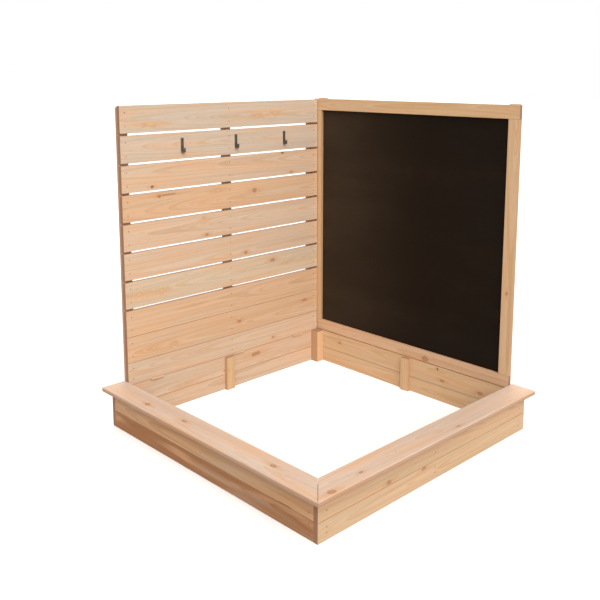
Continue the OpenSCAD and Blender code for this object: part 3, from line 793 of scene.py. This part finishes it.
def turned(bm, start, into, outline):
    """Turns an outline of (radius, depth) round the line from start, as on a lathe."""
    side = into.orthogonal().normalized()
    other = into.cross(side)
    rings = []
    for radius, depth in outline:
        centre = start + into * depth
        if radius == 0:
            rings.append([bm.verts.new(centre)])
            continue
        angles = [2 * math.pi * n / LATHE_SIDES for n in range(LATHE_SIDES)]
        rings.append([bm.verts.new(centre + radius * (side * math.cos(a) + other * math.sin(a)))
                      for a in angles])
    for here, there in zip(rings, rings[1:]):
        for n in range(LATHE_SIDES):
            m = (n + 1) % LATHE_SIDES
            loop = [here[n % len(here)], here[m % len(here)], there[m % len(there)], there[n % len(there)]]
            bm.faces.new(list(dict.fromkeys(loop)))


def nail_outline(length, head, shank, proud):
    """A domed nail head, a plain shank and a point, as (radius, depth)."""
    return [(0, -proud), (head * 0.55, -proud * 0.92), (head * 0.88, -proud * 0.45), (head, proud * 0.4),
            (head, 0.9 * MM), (shank, 1.25 * MM), (shank, length - 4 * MM), (0, length)]


def sunk_screw_outline(length, head, shank, proud):
    """A flat head that narrows to the thread, as (radius, depth)."""
    outline = [(0, -proud * 0.6), (head * 0.9, -proud * 0.55), (head, -proud * 0.1), (head, 0.25 * MM),
               (shank, head - shank + 0.3 * MM)]
    return outline + thread(length, shank, head - shank + 4 * MM)


def pan_screw_outline(length, head, shank, proud):
    """A rounded head that sits on a hook, as (radius, depth)."""
    outline = [(0, -proud * 0.2), (head * 0.45, 0.0), (head * 0.8, 0.3 * MM), (head * 0.97, 0.8 * MM),
               (head, 1.3 * MM), (head, 1.5 * MM), (shank, 1.52 * MM)]
    return outline + thread(length, shank, 4 * MM)


def thread(length, shank, start):
    """Thread crests as rings, down to the point."""
    pitch = 1.6 * MM
    core = shank * 0.72
    point = 5 * MM
    outline = []
    depth = start
    while depth < length - point:
        outline += [(core, depth), (shank, depth + pitch * 0.45), (core, depth + pitch * 0.9)]
        depth += pitch
    return outline + [(shank * 0.7, length - point * 0.9), (0, length)]


def cross_recess(bm, head, into, width, reach, deep):
    """A cross-shaped prism that sinks a drive recess into a screw head."""
    side = into.orthogonal().normalized()
    other = into.cross(side)
    w = width / 2
    taper = 0.7
    plan = [(w, w), (w, reach), (-w, reach), (-w, w), (-reach, w), (-reach, -w),
            (-w, -w), (-w, -reach), (w, -reach), (w, -w), (reach, -w), (reach, w)]
    top = [bm.verts.new(head + side * a + other * b - into * deep) for a, b in plan]
    low = [bm.verts.new(head + side * a * taper + other * b * taper + into * deep) for a, b in plan]
    for n in range(len(plan)):
        m = (n + 1) % len(plan)
        bm.faces.new((top[n], top[m], low[m], low[n]))
    bm.faces.new(list(reversed(top)))
    bm.faces.new(low)


def fasteners(node, body, outline_of, proud, material, recess=0.0):
    """One piece with every nail or screw of a CAD node. recess is how deep a screw's drive goes."""
    drive_width = 0.9 * MM
    bm = bmesh.new()
    cuts = bmesh.new()
    for points in loose_parts(node):
        head, into, length, head_r, shank_r = measure_fastener(points)
        turned(bm, head, into, outline_of(length, head_r, shank_r, proud))
        if recess:
            cross_recess(cuts, head, into, drive_width, head_r * 0.62, recess)
    bmesh.ops.recalc_face_normals(bm, faces=bm.faces)
    bmesh.ops.recalc_face_normals(cuts, faces=cuts.faces)
    piece = mesh_piece(node + "_driven", bm)
    piece.data.materials.append(material)
    if recess:
        carve(piece, mesh_piece("cutter", cuts))
    else:
        cuts.free()
    finish_piece(piece, body, node)


def dress(node, material, bevel):
    """Gives a CAD node its material and eases its edges."""
    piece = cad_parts[node]
    for place in piece.material_slots:
        place.material = material
    if bevel:
        eased = piece.modifiers.new("eased", "BEVEL")
        eased.width = bevel
        eased.segments = 2
        eased.limit_method = "ANGLE"
        eased.angle_limit = BEVEL_ANGLE
        eased.harden_normals = True


class SANDBOX_OT_box(bpy.types.Operator):
    """Makes the side boards, corner posts and middle battens of the box"""

    bl_idname = "sandbox.box"
    bl_label = "Box boards and posts"
    bl_options = {"REGISTER", "UNDO"}

    def execute(self, context):
        wood = context.scene.sandbox_wood
        for node, plan in {**BOX_BOARDS, **POSTS}.items():
            piece = board_piece(node, plan, "box", wood)
            if node == "left_board_upper":
                cut_away(piece, [grown(f"hinge_leaf_box_{n}", wood.pocket_room) for n in HINGE_NUMBERS])
        return {"FINISHED"}


class SANDBOX_OT_benches(bpy.types.Operator):
    """Makes the two bench boards with their rounded outer edges and the mitre"""

    bl_idname = "sandbox.benches"
    bl_label = "Benches"
    bl_options = {"REGISTER", "UNDO"}

    def execute(self, context):
        wood = context.scene.sandbox_wood
        rounds = [wood.bench_round, wood.arris, wood.arris, wood.bench_round]
        for node, mitre in (("bench_front", 1), ("bench_right", -1)):
            board_piece(node, BENCHES[node], "box", wood, rounds, mitre)
        return {"FINISHED"}


class SANDBOX_OT_cover(bpy.types.Operator):
    """Makes the ten slats of the cover and the three battens behind them"""

    bl_idname = "sandbox.cover"
    bl_label = "Slatted cover"
    bl_options = {"REGISTER", "UNDO"}

    def execute(self, context):
        wood = context.scene.sandbox_wood
        for node, plan in {**SLATS, **COVER_BATTENS}.items():
            piece = board_piece(node, plan, "cover", wood)
            if node == "slat_10":
                cut_away(piece, [grown(f"hinge_leaf_cover_{n}", wood.pocket_room) for n in HINGE_NUMBERS])
        return {"FINISHED"}


class SANDBOX_OT_chalk_frame(bpy.types.Operator):
    """Makes the chalkboard's rails and stiles, the posts behind it and the dowels inside"""

    bl_idname = "sandbox.chalk_frame"
    bl_label = "Chalkboard frame"
    bl_options = {"REGISTER", "UNDO"}

    def execute(self, context):
        wood = context.scene.sandbox_wood
        low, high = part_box("chalk_panel")
        room = Vector((wood.rebate_room, 0, wood.rebate_room))
        out_of_back = Vector((0, 2 * MM, 0))
        rebate = (low - room, high + room + out_of_back)
        for node, plan in FRAME_BARS.items():
            piece = board_piece(node, plan, "box", wood)
            if node.startswith("chalk"):
                cut_away(piece, [rebate])
        dowel_plan = Plan("+z", "+x", "cream", 70, (0, -20), (2, 9), 2.0)
        past_every_edge = Vector((1, 1, 2))
        dress("frame_dowels", pine("frame_dowels", dowel_plan, past_every_edge, wood), 0.0)
        return {"FINISHED"}


class SANDBOX_OT_chalk_panel(bpy.types.Operator):
    """Makes the dark writing panel"""

    bl_idname = "sandbox.chalk_panel"
    bl_label = "Chalkboard panel"
    bl_options = {"REGISTER", "UNDO"}

    def execute(self, context):
        chalk = context.scene.sandbox_chalk
        low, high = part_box("chalk_panel")
        half = (high - low) / 2
        strips = 24
        margin = 12 * MM
        waves = 3.1
        bm = bmesh.new()
        bmesh.ops.create_cube(bm, size=2.0)
        bmesh.ops.scale(bm, vec=half, verts=bm.verts)
        bmesh.ops.bevel(bm, geom=bm.edges[:], offset=chalk.edge, segments=2, profile=0.5, affect="EDGES")
        for normal, extent in ((AXES["+x"], half.x), (AXES["+z"], half.z)):
            for n in range(1, strips):
                spot = normal * (extent * (2 * n / strips - 1))
                geometry = bm.verts[:] + bm.edges[:] + bm.faces[:]
                bmesh.ops.bisect_plane(bm, geom=geometry, plane_co=spot, plane_no=normal)
        for vert in bm.verts:
            x, _, z = vert.co
            if abs(x) < half.x - margin and abs(z) < half.z - margin:
                vert.co.y += chalk.swell * noise.noise(Vector((x * waves, z * waves, 5.5)))
        piece = mesh_piece("chalk_panel_painted", bm)
        piece.location = (low + high) / 2
        piece.data.materials.append(chalk_paint(chalk))
        finish_piece(piece, "box", "chalk_panel")
        return {"FINISHED"}


class SANDBOX_OT_nails(bpy.types.Operator):
    """Makes the nails and screws, each with its head just proud of the wood"""

    bl_idname = "sandbox.nails"
    bl_label = "Nails and screws"
    bl_options = {"REGISTER", "UNDO"}

    def execute(self, context):
        metals = context.scene.sandbox_metal
        steel = metal("nail_steel", metals.steel, 0.5, 3.0)
        screw = metal("screw_steel", metals.screw, 0.5, 4.0)
        proud = metals.proud
        fasteners("box_nails", "box", nail_outline, proud, steel)
        fasteners("bench_nails", "box", nail_outline, proud, steel)
        fasteners("slat_nails", "cover", nail_outline, proud, steel)
        fasteners("wall_post_screws", "box", sunk_screw_outline, proud, screw, 1.2 * MM)
        fasteners("hook_screws", "cover", pan_screw_outline, proud, screw, 0.9 * MM)
        return {"FINISHED"}


class SANDBOX_OT_hooks(bpy.types.Operator):
    """Finishes the three strip hooks"""

    bl_idname = "sandbox.hooks"
    bl_label = "Hooks"
    bl_options = {"REGISTER", "UNDO"}

    def execute(self, context):
        metals = context.scene.sandbox_metal
        zinc = metal("hook_zinc", metals.zinc, 0.55, 11.0, 0.75)
        for n in HOOK_NUMBERS:
            dress(f"hook_{n}", zinc, metals.edge)
        return {"FINISHED"}


class SANDBOX_OT_hinges(bpy.types.Operator):
    """Finishes the hinge leaves, pins and screws in the cover's seam"""

    bl_idname = "sandbox.hinges"
    bl_label = "Hinges"
    bl_options = {"REGISTER", "UNDO"}

    def execute(self, context):
        metals = context.scene.sandbox_metal
        plated = metal("hinge_plating", metals.plating, 0.62, 12.0, 0.35)
        pin = metal("hinge_pin_steel", metals.pin, 0.35, 13.0)
        for n in HINGE_NUMBERS:
            dress(f"hinge_leaf_box_{n}", plated, metals.fine_edge)
            dress(f"hinge_leaf_cover_{n}", plated, metals.fine_edge)
            dress(f"hinge_pin_{n}", pin, metals.fine_edge)
        for node in ("hinge_screws_box", "hinge_screws_cover"):
            dress(node, plated, 0.0)
        return {"FINISHED"}


def soft_light(name, strength, softness):
    """A wide light far away, placed by its direction from the object and turned to it."""
    azimuth, elevation, tint = LIGHTS[name]
    data = bpy.data.lights.new(name, "SUN")
    data.energy = strength
    data.angle = softness
    data.color = tint
    light = bpy.data.objects.new(name, data)
    a = math.radians(azimuth)
    e = math.radians(elevation)
    way = Vector((math.sin(a) * math.cos(e), -math.cos(a) * math.cos(e), math.sin(e)))
    light.location = way * 5
    light.rotation_euler = (-way).to_track_quat("-Z", "Y").to_euler()
    bpy.context.scene.collection.objects.link(light)


def pale_floor(stage):
    """A wide pale floor that glows a little, and throws a warmer colour back on the wood."""
    bm = bmesh.new()
    bmesh.ops.create_grid(bm, x_segments=8, y_segments=8, size=stage.floor_size / 2)
    floor = mesh_piece("floor", bm)
    floor.location.z = -0.5 * MM
    material, w, shader, place = new_material("floor_paper")
    mottle = w.noise(place, 2.0, 3.0, 3.0, 0.5).outputs[0]
    paper = w.mix(mottle, shaded(stage.floor_color, 0.985), stage.floor_color)
    seen = w.add("ShaderNodeLightPath").outputs["Is Camera Ray"]
    w.feed(shader["Base Color"], w.mix(seen, stage.floor_bounce, paper))
    w.feed(shader["Emission Color"], w.mix(seen, (0.0, 0.0, 0.0), stage.floor_color))
    shader["Emission Strength"].default_value = stage.floor_glow
    shader["Roughness"].default_value = 0.95
    shader["Specular IOR Level"].default_value = 0.1
    floor.data.materials.append(material)


def studio_world(stage):
    """A white room that lights the object more from one side."""
    white = (1, 1, 1, 1)
    half = stage.world / 2
    world = bpy.data.worlds.new("studio")
    world.use_nodes = True
    tree = world.node_tree
    tree.nodes.clear()
    w = Wires(tree)
    turn = w.add("ShaderNodeVectorMath", operation="DOT_PRODUCT",
                 inputs={0: w.add("ShaderNodeTexCoord").outputs["Generated"], 1: BRIGHT_SIDE})
    strength = w.math("MULTIPLY_ADD", turn.outputs["Value"], half, half)
    glow = w.add("ShaderNodeBackground", {"Color": white, "Strength": strength})
    seen = w.add("ShaderNodeBackground", {"Color": white, "Strength": 1.0})
    choice = w.add("ShaderNodeMixShader")
    tree.links.new(w.add("ShaderNodeLightPath").outputs["Is Camera Ray"], choice.inputs[0])
    tree.links.new(glow.outputs[0], choice.inputs[1])
    tree.links.new(seen.outputs[0], choice.inputs[2])
    tree.links.new(choice.outputs[0], w.add("ShaderNodeOutputWorld").inputs["Surface"])
    return world


def standing_camera(stage):
    """The camera at its stand, turned by its yaw and pitch."""
    data = bpy.data.cameras.new("camera")
    data.lens = stage.lens
    data.sensor_width = 36
    data.shift_y = stage.shift
    camera = bpy.data.objects.new("camera", data)
    camera.location = stage.stand
    level = math.cos(stage.pitch)
    way = Vector((-math.sin(stage.yaw) * level, math.cos(stage.yaw) * level, math.sin(stage.pitch)))
    camera.rotation_euler = way.to_track_quat("-Z", "Y").to_euler()
    bpy.context.scene.collection.objects.link(camera)
    return camera


class SANDBOX_OT_stage(bpy.types.Operator):
    """Makes the floor, the soft lights and the camera"""

    bl_idname = "sandbox.stage"
    bl_label = "Stage"
    bl_options = {"REGISTER", "UNDO"}

    def execute(self, context):
        stage = context.scene.sandbox_stage
        pale_floor(stage)
        context.scene.world = studio_world(stage)
        soft_light("key_right", stage.key, stage.softness)
        soft_light("fill_front", stage.fill, stage.softness)
        soft_light("back_light", stage.back, stage.softness)
        context.scene.camera = standing_camera(stage)
        context.scene.view_settings.view_transform = "Standard"
        return {"FINISHED"}


STEPS = (
    SANDBOX_OT_box,
    SANDBOX_OT_benches,
    SANDBOX_OT_cover,
    SANDBOX_OT_chalk_frame,
    SANDBOX_OT_chalk_panel,
    SANDBOX_OT_nails,
    SANDBOX_OT_hooks,
    SANDBOX_OT_hinges,
    SANDBOX_OT_stage,
)
SETTINGS = {
    "sandbox_wood": SandboxWood,
    "sandbox_metal": SandboxMetal,
    "sandbox_chalk": SandboxChalk,
    "sandbox_stage": SandboxStage,
}


class SANDBOX_PT_steps(bpy.types.Panel):
    """Lists the sandbox's settings and steps in the sidebar"""

    bl_label = "Sandbox"
    bl_space_type = "VIEW_3D"
    bl_region_type = "UI"
    bl_category = "Sandbox"

    def draw(self, context):
        for step in STEPS:
            self.layout.operator(step.bl_idname)
        for key, kind in SETTINGS.items():
            box = self.layout.box()
            box.label(text=kind.__doc__)
            for name in kind.__annotations__:
                box.prop(getattr(context.scene, key), name)


def register():
    for kind in (*SETTINGS.values(), *STEPS, SANDBOX_PT_steps):
        bpy.utils.register_class(kind)
    for key, kind in SETTINGS.items():
        setattr(bpy.types.Scene, key, PointerProperty(type=kind))


def unregister():
    for key in SETTINGS:
        delattr(bpy.types.Scene, key)
    for kind in reversed((*SETTINGS.values(), *STEPS, SANDBOX_PT_steps)):
        bpy.utils.unregister_class(kind)


def main():
    register()
    for step in STEPS:
        family, name = step.bl_idname.split(".")
        getattr(getattr(bpy.ops, family), name)()


if __name__ == "__main__":
    main()
